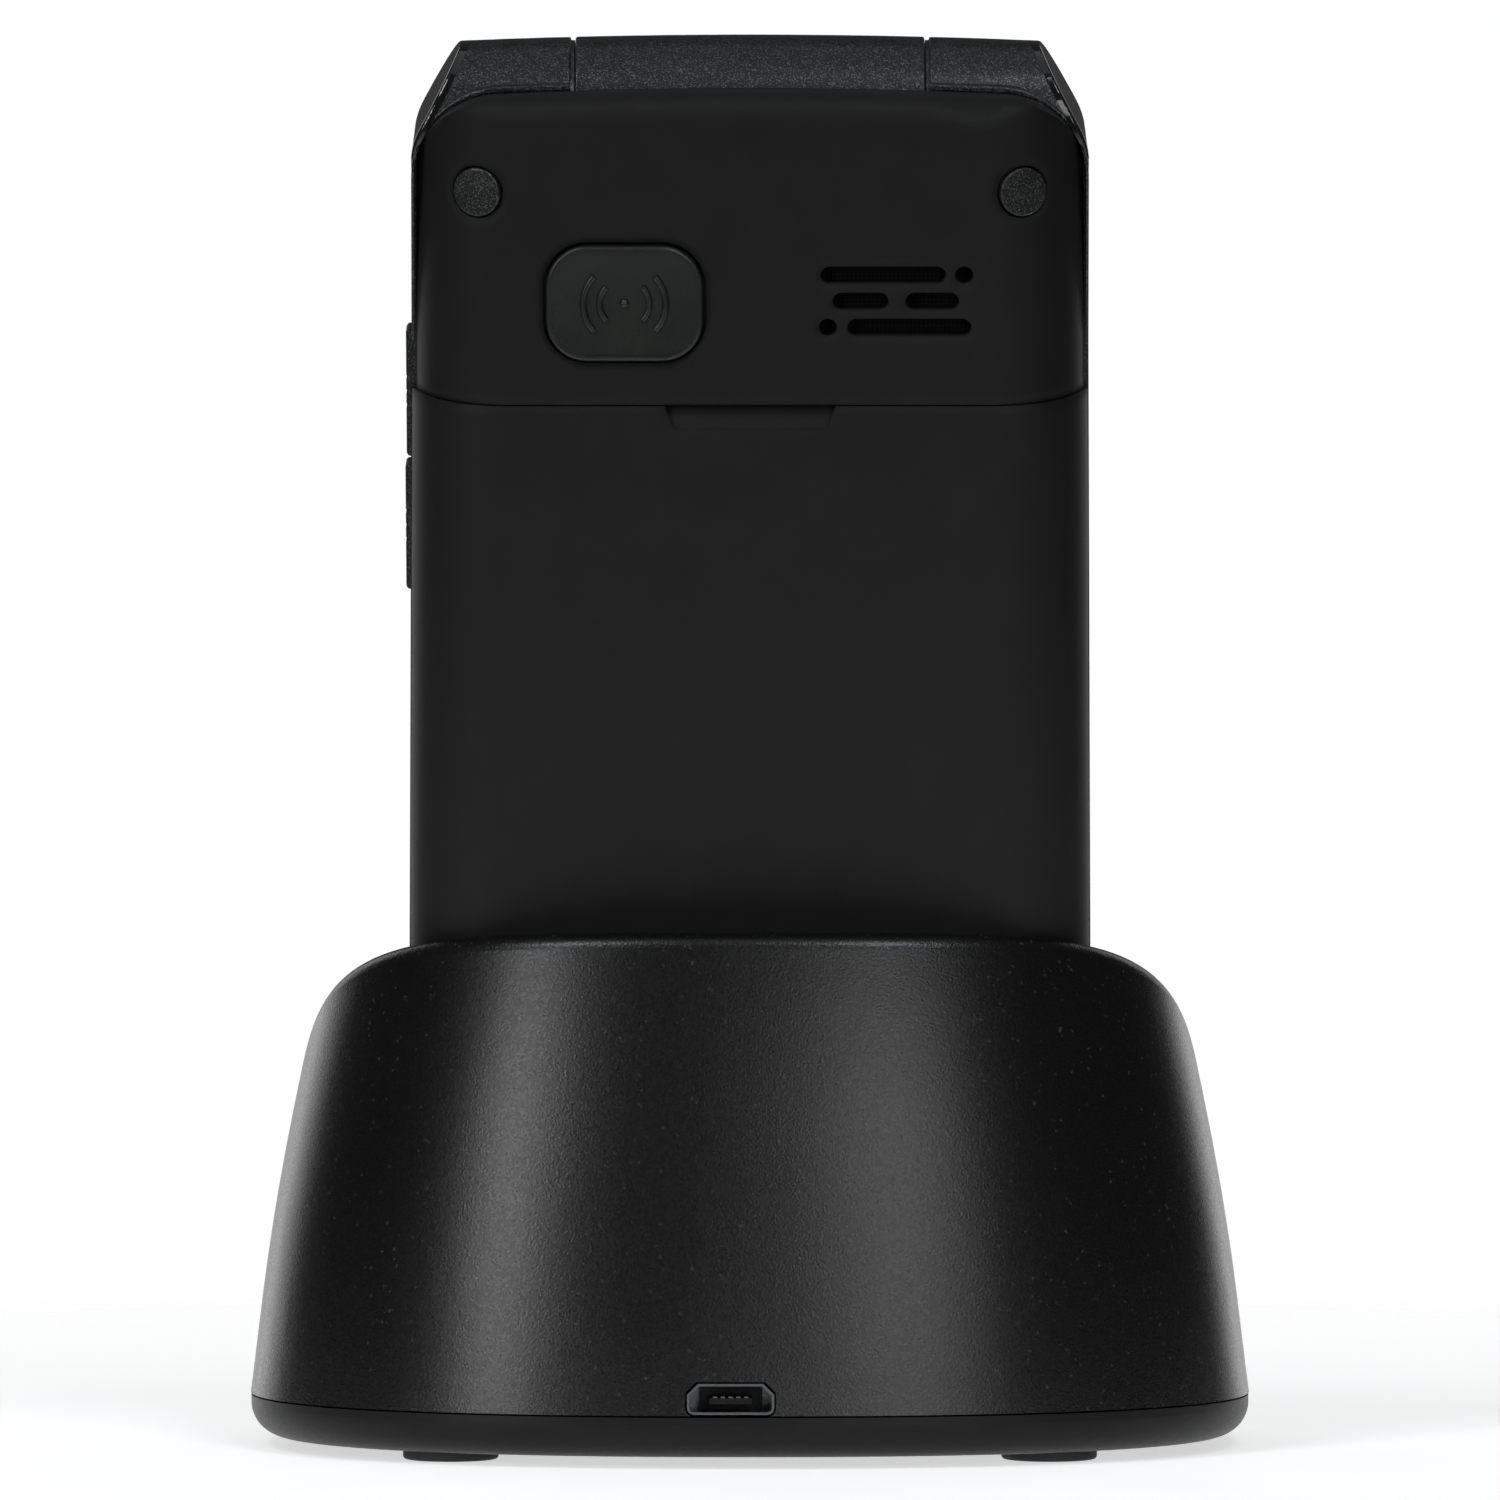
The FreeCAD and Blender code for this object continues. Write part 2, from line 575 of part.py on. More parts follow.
def housing_room():
    """Space of the rear housing's upper end, with a slit round it."""
    return arched_outline(80, HOUSING_SIDE_TOP + COLLAR_SLIT, HOUSING_TOP + COLLAR_SLIT,
                          HOUSING_INSET - COLLAR_SLIT, -1, SHELL_DEPTH, HOUSING_CORNER + COLLAR_SLIT, 0)


def knuckle_hub(side):
    """Step on an outer knuckle's end that fills the gap beside the lid's knuckle."""
    start, end = KNUCKLE_GAP_X - KNUCKLE_GAP / 2 + HUB_CLEARANCE, KNUCKLE_GAP_X + KNUCKLE_GAP / 2 + 0.5
    return rod(BARREL_RADIUS - HUB_STEP, hinge_axis_point(side * start), hinge_axis_point(side * end))


def front_frame():
    plate = phone_block(0, HINGE_HEIGHT, SHELL_DEPTH, BODY_DEPTH, 0, 7.0)
    plate = plate.common(fuse(shoulder_outline(), box(-40, 40, -30, 0, -1, 95)))
    hollow = phone_block(1.3, 95, 0, PLATE_BACK, 1.3, 5.7)
    frame = cut(plate, hollow)
    frame = fuse(frame, outer_knuckle(-1), outer_knuckle(1), housing_collar())
    middle = KNUCKLE_GAP_X - KNUCKLE_GAP / 2
    frame = cut(frame, barrel_room(-middle - KNUCKLE_GAP, middle + KNUCKLE_GAP))
    frame = fuse(frame, knuckle_hub(-1), knuckle_hub(1))
    over_sides = [box(side * 40, side * CORNER_FROM_X, -20, 2, 80, 120) for side in (-1, 1)]
    frame = cut(frame, *[housing_room().common(block) for block in over_sides])
    field = phone_block(6.6, 71.0, PAD_FLOOR, 12, 2.2, 5.0, 5.0)
    frame = cut(frame, field)
    for x, height, width, tall, radius in keypad_layout().values():
        frame = cut(frame, slab(x, height, width + 2 * KEY_GAP, tall + 2 * KEY_GAP, 9, 12, radius + KEY_GAP))
    for side in (-1, 1):
        lower_x, contact_x = side * LOWER_SCREW_X, side * CONTACT_X
        frame = fuse(frame, stud(lower_x, LOWER_SCREW_HEIGHT, 1.6, SHELL_DEPTH, PLATE_BACK + 0.2))
        frame = cut(frame, stud(lower_x, LOWER_SCREW_HEIGHT, 0.85, 6, 9.3),
                    stud(side * PLUG_X, PLUG_HEIGHT, 0.85, 3, 9.3),
                    shoulder_plane_block(side, CAP_THICKNESS),
                    rod(1.7, V(contact_x, -CONTACT_DEPTH, -1), V(contact_x, -CONTACT_DEPTH, 2)))
    for low, high in SIDE_KEYS.values():
        window = box(24.8, 30, -SIDE_KEY_FRONT - SIDE_GAP, -SIDE_KEY_BACK + SIDE_GAP, low - SIDE_GAP,
                     high + SIDE_GAP)
        frame = cut(frame, window)
    microphone_hole = stud(8.0, 3.6, 0.5, 9, 12)
    bores = [rod(2.6, hinge_axis_point(side * 14), hinge_axis_point(side * 22)) for side in (-1, 1)]
    return single(cut(frame, microphone_hole, *bores))


def hinge_cap(side):
    """Glossy cover on the slanted shoulder, with a rounded outer edge."""
    start = KNUCKLE_GAP_X + KNUCKLE_GAP / 2
    knuckle = fuse(barrel(start, 30), box(15, 30, -BODY_DEPTH, -SHELL_DEPTH, 95, HINGE_HEIGHT))
    cap = knuckle.common(shoulder_outline(0.05)).common(shoulder_plane_block(1, CAP_THICKNESS - 0.02))
    outward = shoulder_directions()[1]
    cap = round_edges(single(cap), CAP_ROUND,
                      lambda edge: (edge.CenterOfMass - shoulder_point()).dot(outward) > 0.02)
    return cap if side > 0 else mirrored(cap)


def side_key(low, high):
    """Side key: a ribbed bar that passes through the frame's side wall, with a flange inside it."""
    middle = (low + high) / 2
    outer_x = half_width(middle) + SIDE_KEY_RISE
    bar = box(25.6, outer_x, -SIDE_KEY_FRONT, -SIDE_KEY_BACK, low, high)
    bar = round_edges(bar, 0.35, lambda edge: edge.BoundBox.XMin > outer_x - 0.01)
    flange = box(25.6, 26.4, -9.1, -SIDE_KEY_BACK + 0.1, low - 0.15, high + 0.15)
    grooves = [box(outer_x - 0.15, 31, -12, -6, middle + step * 1.2 - 0.25, middle + step * 1.2 + 0.25)
               for step in (-1, 0, 1)]
    return single(cut(fuse(bar, flange), *grooves))


def main_board():
    """Circuit board with its shield can, alarm switch and side switches standing on it."""
    board = phone_block(12, 94, BOARD_BACK, BOARD_FRONT, 3.6, 1.0, 1.0)
    can = slab(-2, 86.5, 6, 8, BOARD_BACK - 1.6, BOARD_BACK, 0.5)
    switch = slab(ALARM_X, ALARM_HEIGHT, 3.6, 3.6, 3.2, BOARD_BACK, 0.4)
    return fuse(board, can, switch)


def dome_sheet():
    sheet = phone_block(13, 69, BOARD_FRONT, DOME_FRONT - 0.15, 4.2, 1.0, 1.0)
    domes = []
    for x, height, width, tall, radius in keypad_layout().values():
        domes.append(stud(x, max(height, 15.6), 2.2, BOARD_FRONT, DOME_FRONT))
    return fuse(sheet, *domes)


def battery():
    pack = slab(0, 43.5, 34, 53, 1.35, 5.35, 1.5)
    return round_edges(pack, 0.8, lambda edge: runs_along(edge, Z_AXIS))


def sim_holder():
    tray = slab(0, 30, 17, 15, 5.45, SHELL_DEPTH - 0.8)
    return cut(tray, slab(0, 31, 13, 15, 5.6, 6.0))


def vibration_motor():
    can = rod(1.9, V(22, -4.9, 82.6), V(22, -4.9, 89.0))
    weight = rod(1.6, V(22, -4.9, 89.0), V(22, -4.9, 92.0)).cut(box(18, 26, -4.8, 0, 89.0, 93))
    return fuse(can, weight)


def charge_pads():
    pads = []
    for x in (-CONTACT_X, CONTACT_X):
        pads.append(rod(1.65, V(x, -CONTACT_DEPTH, 0), V(x, -CONTACT_DEPTH, 1.25)))
    return Part.makeCompound(pads)


def hinge_cartridge():
    """Sprung cam unit in the right-hand outer knuckle; its shaft turns in the lid's knuckle."""
    can = rod(2.55, hinge_axis_point(15.0), hinge_axis_point(21.9))
    return fuse(can, rod(PIN_RADIUS, hinge_axis_point(8.0), hinge_axis_point(15.0)))


def hinge_pin():
    flange = rod(2.55, hinge_axis_point(-21.9), hinge_axis_point(-15.0))
    return fuse(flange, rod(PIN_RADIUS, hinge_axis_point(-15.0), hinge_axis_point(-8.0)))


# ================================================================== lid
def lid_inner_shell():
    plate = phone_block(LID_BOTTOM, LID_TOP, LID_BACK, LID_SPLIT, LID_INSET, 7.0)
    hollow = phone_block(LID_BOTTOM + LID_WALL, 92, 12.6, 15, LID_INSET + LID_WALL, 5.6)
    plate = cut(plate, hollow)
    middle = KNUCKLE_GAP_X - KNUCKLE_GAP / 2
    plate = cut(plate, barrel_room(-40, 40))
    neck = box(-middle, middle, -16.0, -12.0, 92.0, HINGE_HEIGHT)
    knuckle = eased_barrel(-middle, middle)
    shell = fuse(plate, neck, knuckle)
    bore = PIN_RADIUS + PIN_CLEARANCE
    x, height, width, tall = MAIN_WINDOW
    shell = cut(shell, rod(bore, hinge_axis_point(-16), hinge_axis_point(-7.8)),
                rod(bore, hinge_axis_point(7.8), hinge_axis_point(16)),
                slab(x, height, width + 0.2, tall + 0.2, 11, 13, 2.1),
                slab(0, EARPIECE_HEIGHT, 9, 1.6, 11, 13, 0.7))
    return single(shell)


def lid_outer_shell():
    outer = phone_block(LID_BOTTOM, LID_TOP, LID_SPLIT, LID_FRONT, LID_INSET, 7.0, 5.0)
    outer = round_edges(outer, 3.4, lambda edge: edge.BoundBox.YMax < -LID_FRONT + 0.01)
    hollow = phone_block(LID_BOTTOM + LID_WALL, 92, LID_SPLIT - 1, LID_FRONT - 1.5, LID_INSET + LID_WALL,
                         5.6, 3.6)
    hollow = round_edges(hollow, 1.9, lambda edge: edge.BoundBox.YMax < -LID_FRONT + 1.51)
    x, height, width, tall = FRONT_WINDOW
    middle = KNUCKLE_GAP_X - KNUCKLE_GAP / 2
    neck_room = box(-middle - 0.1, middle + 0.1, -16.05, -12.0, 90.0, LID_TOP + 1)
    shell = cut(outer, hollow, barrel_room(-40, 40), neck_room,
                slab(x, height, width + 0.2, tall + 0.2, 18, 22, 2.6))
    return single(shell)


def main_window():
    x, height, width, tall = MAIN_WINDOW
    return slab(x, height, width, tall, 11.45, 12.55, 2.0)


def main_display():
    x, height, width, tall = MAIN_WINDOW
    return slab(x, height, width + 2.6, tall + 2.4, 12.7, 14.9, 0.5)


def front_window():
    x, height, width, tall = FRONT_WINDOW
    pane = slab(x, height, width, tall, 19.1, 20.45, 2.5)
    return round_edges(pane, 0.3, lambda edge: edge.BoundBox.YMax < -20.44)


def front_display():
    x, height, width, tall = FRONT_WINDOW
    return slab(x, height, width + 2, tall + 2, 16.6, 18.95, 0.5)


def lid_board():
    return slab(0, 50, 44, 66, 15.1, 15.9, 1.0)


def earpiece():
    return slab(0, EARPIECE_HEIGHT, 13, 5.6, 12.65, 14.9, 2.4)


def lid_bumpers():
    pads = []
    for side in (-1, 1):
        for height in (9.0, 90.5):
            pads.append(stud(side * 23.6, height, 1.2, LID_BACK - 0.15, LID_BACK))
    return Part.makeCompound(pads)


# ================================================================== cradle
def superellipse(a, b, z):
    """Closed smooth curve; the angle steps are even in the curve's own parameter."""
    points = []
    steps = 48
    for step in range(steps):
        angle = 2 * math.pi * step / steps
        c, s = math.cos(angle), math.sin(angle)
        x = a * math.copysign(abs(c) ** (2 / PLAN_POWER), c)
        y = b * math.copysign(abs(s) ** (2 / PLAN_POWER), s)
        points.append(V(x, y, z))
    curve = Part.BSplineCurve()
    curve.interpolate(points, PeriodicFlag=True)
    return Part.Wire(curve.toShape())


def cradle_hull(inset=0.0):
    wires = [superellipse(a - inset, b - inset, z) for z, a, b in CRADLE_SECTIONS]
    return Part.makeLoft(wires, True, False)


def sweep_outline(lower=0.0):
    """Side view of the space above the cradle's top, as a list of edges in the YZ plane."""
    def at(y, z):
        return V(-60, y, z)
    sweep = math.radians(REAR_SWEEP_DEG)
    rear_centre = (RIM_Y, RIM_Z - REAR_ARC)
    rear_radius = REAR_ARC - lower
    dip_radius = DIP_ARC + lower
    join = (rear_centre[0] - REAR_ARC * math.sin(sweep), rear_centre[1] + REAR_ARC * math.cos(sweep))
    dip_centre = (join[0] - DIP_ARC * math.sin(sweep), join[1] + DIP_ARC * math.cos(sweep))
    front_centre = (dip_centre[0], dip_centre[1] - DIP_ARC - FRONT_ARC)
    front_radius = FRONT_ARC - lower

    def on(centre, radius, degrees):
        angle = math.radians(degrees)
        return at(centre[0] - radius * math.sin(angle), centre[1] + radius * math.cos(angle))

    def below(centre, radius, degrees):
        angle = math.radians(degrees)
        return at(centre[0] + radius * math.sin(angle), centre[1] - radius * math.cos(angle))

    back = at(60, RIM_Z - lower)
    rim = on(rear_centre, rear_radius, 0)
    middle = on(rear_centre, rear_radius, REAR_SWEEP_DEG / 2)
    turn = on(rear_centre, rear_radius, REAR_SWEEP_DEG)
    dip = below(dip_centre, dip_radius, REAR_SWEEP_DEG / 2)
    low = below(dip_centre, dip_radius, 0)
    front_middle = on(front_centre, front_radius, 20)
    front_end = on(front_centre, front_radius, 40)
    far = at(-60, front_end.z - 12)
    return [
        Part.makeLine(back, rim),
        Part.Arc(rim, middle, turn).toShape(),
        Part.Arc(turn, dip, low).toShape(),
        Part.Arc(low, front_middle, front_end).toShape(),
        Part.makeLine(front_end, far),
        Part.makeLine(far, at(-60, 90)),
        Part.makeLine(at(-60, 90), at(60, 90)),
        Part.makeLine(at(60, 90), back),
    ]


def space_above(lower=0.0):
    return Part.Face(Part.Wire(sweep_outline(lower))).extrude(V(120, 0, 0))


def pocket(grow=0.0):
    """Room for the telephone, in cradle coordinates; grow adds the thickness of the pocket's walls."""
    gap = POCKET_GAP + grow
    body = round_edges(wedge(-gap, 75, -gap, BODY_DEPTH + gap, -gap), BACK_ROUND,
                       lambda edge: abs(edge.CenterOfMass.y - gap) < 0.01
                       and abs(edge.Vertexes[0].Z - edge.Vertexes[-1].Z) > 5)
    outline = corner_rounded(wedge(-gap, 75, -gap, BODY_DEPTH + gap, -gap), 30, 7.0, 0)
    body = body.common(outline)
    front = box(-LID_ROOM - grow, LID_ROOM + grow, -60, -BODY_DEPTH + 1, LIP_HEIGHT - grow, 75)
    return stand_in_cradle(fuse(body, front))


def cradle_block():
    """Outer form of the cradle before it is hollowed, without the telephone's pocket."""
    return single(cut(cradle_hull(), space_above()))


def leaned_rod(radius, x, depth, low, high):
    return stand_in_cradle(rod(radius, V(x, -depth, low), V(x, -depth, high)))


def usb_outline(width, tall, bottom, y0, y1, chamfer, radius):
    """Socket outline seen from behind: its two upper corners are cut off and the lower ones rounded."""
    left, right, top = USB_X - width / 2, USB_X + width / 2, bottom + tall
    points = [V(left, y0, bottom), V(right, y0, bottom), V(right, y0, top - chamfer),
              V(right - chamfer, y0, top), V(left + chamfer, y0, top), V(left, y0, top - chamfer)]
    block = Part.Face(Part.makePolygon(points + points[:1])).extrude(V(0, y1 - y0, 0))
    return round_edges(block, radius, lambda edge: runs_along(edge, Y_AXIS)
                       and edge.CenterOfMass.z < bottom + 0.1)


def foot_places():
    return [(x, y) for x in (-FOOT_X, FOOT_X) for y in (-FOOT_Y, FOOT_Y)]


def cradle_shell():
    block = cradle_block()
    rounded = round_edges(block, RIM_ROUND, lambda edge: edge.BoundBox.ZMin > SEAM_Z + 1)
    hollow = cut(cradle_hull(CRADLE_WALL), space_above(CRADLE_WALL), pocket(2.0))
    hollow = hollow.common(box(-60, 60, -60, 60, SEAM_Z, 60))
    bosses = [rod(3.0, V(x, y, SEAM_Z), V(x, y, 22)).common(block) for x, y in foot_places()]
    shell = fuse(cut(rounded, hollow), *bosses)
    shell = cut(shell, pocket())
    for x, y in foot_places():
        shell = cut(shell, rod(1.15, V(x, y, 0), V(x, y, 12)))
    for side in (-1, 1):
        shell = cut(shell, leaned_rod(CONTACT_PIN_RADIUS + 0.15, side * CONTACT_X, CONTACT_DEPTH, -6, 3))
    shell = cut(shell, rod(LIGHT_RADIUS + 0.05, V(0, LIGHT_Y, 2), V(0, LIGHT_Y, 40)),
                usb_outline(USB_WIDTH + 0.3, USB_TALL + 0.3, USB_BOTTOM - 0.15, 20, 40, USB_CHAMFER,
                            USB_ROUND + 0.15))
    return single(shell)


def cradle_tray():
    z, a, b = CRADLE_SECTIONS[0]
    top = SEAM_Z - SEAM_GROOVE
    outer = Part.Face(superellipse(a - 0.05, b - 0.05, TRAY_BOTTOM)).extrude(V(0, 0, top - TRAY_BOTTOM))
    outer = round_edges(outer, TRAY_ROUND, lambda edge: edge.BoundBox.ZMax < TRAY_BOTTOM + 0.01)
    inner = Part.Face(superellipse(a - 2.6, b - 2.6, TRAY_FLOOR)).extrude(V(0, 0, 10))
    tray = cut(outer, inner)
    for x, y in foot_places():
        tray = fuse(tray, rod(2.8, V(x, y, TRAY_FLOOR - 0.2), V(x, y, top)))
        tray = cut(tray, rod(FOOT_RADIUS + 0.15, V(x, y, 0), V(x, y, FOOT_TOP)),
                   rod(2.1, V(x, y, 1), V(x, y, 2.7)), rod(1.25, V(x, y, 1), V(x, y, 6)))
    return single(tray)


def cradle_feet():
    feet = []
    for x, y in foot_places():
        foot = rod(FOOT_RADIUS, V(x, y, 0), V(x, y, FOOT_TOP))
        feet.append(round_edges(foot, 0.3, lambda edge: edge.BoundBox.ZMax < 0.01))
    return Part.makeCompound(feet)


def cradle_screws():
    screws = []
    for x, y in foot_places():
        head = rod(2.0, V(x, y, 1.5), V(x, y, 2.6))
        screw = fuse(head, rod(1.1, V(x, y, 2.6), V(x, y, 11)))
        slot_a = box(x - 1.3, x + 1.3, y - 0.3, y + 0.3, 1, 2.0)
        slot_b = box(x - 0.3, x + 0.3, y - 1.3, y + 1.3, 1, 2.0)
        screws.append(single(cut(screw, slot_a, slot_b)))
    return Part.makeCompound(screws)


def cradle_ballast():
    block = box(-25, 25, -20, -3.5, TRAY_FLOOR, 7.6)
    block = round_edges(block, 2.0, lambda edge: runs_along(edge, Z_AXIS))
    for x, y in foot_places():
        block = cut(block, rod(3.2, V(x, y, 0), V(x, y, 10)))
    return cut(block, rod(2.2, V(0, LIGHT_Y, 0), V(0, LIGHT_Y, 10)))


def cradle_board():
    top = USB_BOTTOM - 0.02
    board = box(-13, 13, 11, 26.5, top - 1.0, top)
    parts = [box(-12, -8, 13, 17, top, top + 1.6), box(8, 11, 14, 20, top, top + 1.2)]
    return fuse(board, *parts)


def usb_shell():
    y0 = USB_FACE_Y - USB_LENGTH
    outer = usb_outline(USB_WIDTH, USB_TALL, USB_BOTTOM, y0, USB_FACE_Y, USB_CHAMFER, USB_ROUND)
    inner = usb_outline(USB_WIDTH - 2 * USB_WALL, USB_TALL - 2 * USB_WALL, USB_BOTTOM + USB_WALL, y0 + 0.4,
                        USB_FACE_Y + 1, USB_CHAMFER - 0.1, USB_ROUND - USB_WALL)
    return cut(outer, inner)


def usb_tongue():
    y0 = USB_FACE_Y - USB_LENGTH + 0.4
    root = box(USB_X - 2.6, USB_X + 2.6, y0, y0 + 0.8, USB_BOTTOM + USB_WALL,
               USB_BOTTOM + USB_TALL - USB_WALL)
    tongue = box(USB_X - 1.75, USB_X + 1.75, y0, USB_FACE_Y - 0.9, TONGUE_Z, TONGUE_Z + TONGUE_TALL)
    return fuse(root, tongue)


def usb_contacts():
    strips = []
    for index in range(-2, 3):
        x = USB_X + index * USB_PITCH
        strips.append(box(x - 0.17, x + 0.17, USB_FACE_Y - 3.8, USB_FACE_Y - 0.8, TONGUE_Z + TONGUE_TALL,
                          TONGUE_Z + TONGUE_TALL + 0.12))
    return Part.makeCompound(strips)


def light_pipe():
    column = rod(LIGHT_RADIUS, V(0, LIGHT_Y, 7.8), V(0, LIGHT_Y, 40))
    return single(column.common(cradle_block()))


def contact_block():
    """Insulating block that carries the two sprung charging pins."""
    body = box(-9, 9, -11, -7, -6.6, -2.45)
    for side in (-1, 1):
        body = cut(body, rod(CONTACT_PIN_RADIUS + 0.08, V(side * CONTACT_X, -CONTACT_DEPTH, -8),
                             V(side * CONTACT_X, -CONTACT_DEPTH, 1)))
    return stand_in_cradle(body)


def contact_pin(side):
    pin = rod(CONTACT_PIN_RADIUS, V(side * CONTACT_X, -CONTACT_DEPTH, -5.2),
              V(side * CONTACT_X, -CONTACT_DEPTH, -0.06))
    pin = round_edges(pin, 0.4, lambda edge: edge.BoundBox.ZMin > -0.1)
    return stand_in_cradle(pin)


# ================================================================== assembly
def telephone_parts():
    parts = {
        "rear_housing": rear_housing(),
        "battery_cover": battery_cover(),
        "alarm_key": alarm_key(),
        "screw_plugs": screw_plugs(),
        "housing_screws": housing_screws(),
        "loudspeaker": loudspeaker(),
        "speaker_mesh": speaker_mesh(),
        "front_frame": front_frame(),
        "hinge_cap_left": hinge_cap(-1),
        "hinge_cap_right": hinge_cap(1),
        "main_board": main_board(),
        "dome_sheet": dome_sheet(),
        "battery": battery(),
        "sim_holder": sim_holder(),
        "vibration_motor": vibration_motor(),
        "charge_pads": charge_pads(),
        "hinge_cartridge": hinge_cartridge(),
        "hinge_pin": hinge_pin(),
        "lid_inner_shell": lid_inner_shell(),
        "lid_outer_shell": lid_outer_shell(),
        "main_window": main_window(),
        "main_display": main_display(),
        "front_window": front_window(),
        "front_display": front_display(),
        "lid_board": lid_board(),
        "earpiece": earpiece(),
        "lid_bumpers": lid_bumpers(),
    }
    for name, (low, high) in SIDE_KEYS.items():
        parts[name] = side_key(low, high)
    for name, layout in keypad_layout().items():
        parts[name] = key_shape(*layout)
    return {name: stand_in_cradle(shape) for name, shape in parts.items()}


def cradle_parts():
    return {
        "cradle_shell": cradle_shell(),
        "cradle_tray": cradle_tray(),
        "cradle_feet": cradle_feet(),
        "cradle_screws": cradle_screws(),
        "cradle_ballast": cradle_ballast(),
        "cradle_board": cradle_board(),
        "usb_shell": usb_shell(),
        "usb_tongue": usb_tongue(),
        "usb_contacts": usb_contacts(),
        "light_pipe": light_pipe(),
        "contact_block": contact_block(),
        "contact_pin_left": contact_pin(-1),
        "contact_pin_right": contact_pin(1),
    }


def build():
    parts = {**cradle_parts(), **telephone_parts()}
    for shape in parts.values():
        shape.translate(V(0, BASE_Y, 0))
    return parts


def main():
    os.makedirs("parts", exist_ok=True)
    for name, shape in build().items():
        shape.exportStep(os.path.join("parts", name + ".step"))


main()
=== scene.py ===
import json
import math

import bpy
from mathutils import Matrix, Vector


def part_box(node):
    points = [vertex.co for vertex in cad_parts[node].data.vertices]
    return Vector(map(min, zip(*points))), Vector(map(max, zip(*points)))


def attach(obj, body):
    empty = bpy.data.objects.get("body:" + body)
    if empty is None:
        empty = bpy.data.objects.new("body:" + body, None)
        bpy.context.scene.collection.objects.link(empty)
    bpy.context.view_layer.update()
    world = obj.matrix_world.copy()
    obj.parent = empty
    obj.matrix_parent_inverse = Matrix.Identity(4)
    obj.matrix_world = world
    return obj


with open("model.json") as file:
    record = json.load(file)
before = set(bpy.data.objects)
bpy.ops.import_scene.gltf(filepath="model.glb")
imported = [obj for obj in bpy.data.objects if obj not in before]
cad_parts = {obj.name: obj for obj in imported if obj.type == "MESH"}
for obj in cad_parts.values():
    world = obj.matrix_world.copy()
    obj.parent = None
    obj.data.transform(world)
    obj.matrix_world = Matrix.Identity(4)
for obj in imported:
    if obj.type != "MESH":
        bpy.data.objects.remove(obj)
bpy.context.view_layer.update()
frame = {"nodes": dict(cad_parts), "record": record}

MM = 0.001
NODES = frame["nodes"]

# ------------------------------------------------------------------ the telephone's own directions
LEAN = math.radians(14)                              # how far the telephone leans back in its cradle
OUT = Vector((0, -math.cos(LEAN), math.sin(LEAN)))   # away from the telephone's front
UP = Vector((0, math.sin(LEAN), math.cos(LEAN)))     # up the telephone
RIGHT = Vector((1, 0, 0))

# ------------------------------------------------------------------ camera
CAMERA_AWAY = 1.0                   # behind the middle of the cradle
CAMERA_HEIGHT = 0.0774
CAMERA_PITCH = math.radians(1.06)   # looking down
LENS = 282.5
SENSOR = 36.0

# ------------------------------------------------------------------ studio
ROOM_RADIUS = 4.5
FLOOR_RADIUS = 0.5
FLOOR_FADE = (0.08, 0.22)  # radii between which the floor melts into the white room
FLOOR_STEPS = 96
FLOOR_GLOW = 0.6           # the floor is a light table: it glows and also catches the lights
WORLD_LIGHT = 0.05
LIGHT_AIM = Vector((0, 0, 0.05))
NEUTRAL = (1, 1, 1)
COOL = (0.94, 0.97, 1.0)
# name: azimuth and elevation in degrees, distance, width and height in metres, radiance, tint
LIGHTS = {
    "softbox_left": (39, 11, 0.9, 0.15, 0.42, 8.8, NEUTRAL),
    "softbox_right": (-19, 10, 0.9, 0.36, 0.38, 3.1, NEUTRAL),
    "softbox_left_high": (39, 48, 0.9, 0.20, 0.30, 8.0, COOL),
    "softbox_right_high": (-25, 48, 0.9, 0.22, 0.30, 7.0, COOL),
    "softbox_top": (0, 88, 1.0, 0.9, 0.9, 0.35, COOL),
    "backdrop": (180, -2, 1.1, 1.5, 0.30, 0.8, NEUTRAL),
    "softbox_front_left": (142, 14, 1.0, 0.45, 0.8, 1.1, NEUTRAL),
    "softbox_front_right": (-146, 14, 1.0, 0.40, 0.8, 0.8, NEUTRAL),
}

# ------------------------------------------------------------------ key legends, in millimetres
LEGEND_LIFT = 0.012 * MM   # metres: the printed film is this thick, and its middle is this far off the key
LETTERS = {"2": "ABC", "3": "DEF", "4": "GHI", "5": "JKL", "6": "MNO", "7": "PQRS", "8": "TUV", "9": "WXYZ"}
SIGNS = {"star": "*", "hash": "#"}
DRAWN_KEYS = ("call", "end", "soft_left", "soft_right", "navigation")
CAPITAL_SHARE = 0.69       # height of a capital as a share of the type size
DIGIT_TALL = 4.2
DIGIT_ACROSS = -3.4        # beside the letters; a digit alone stands in the middle
LETTERS_TALL = 1.55
LETTERS_AT = (2.7, -0.6)
CALL_AT = (0, 0.2)
CALL_TURN = 45
END_AT = (0, 0.6)
DASH = [(-1.8, -0.3), (1.8, -0.3), (1.8, 0.3), (-1.8, 0.3)]
ARROW = [(-1.3, -0.7), (1.3, -0.7), (0, 0.9)]
ARROW_ACROSS = 6.4
ARROW_UP = 7.0
RING_OUTER = 3.6
RING_INNER = 3.2
RING_STEPS = 40
GRIP_OUTER = 3.1
GRIP_INNER = 2.25
GRIP_CUP = 1.5
GRIP_DROP = 1.9


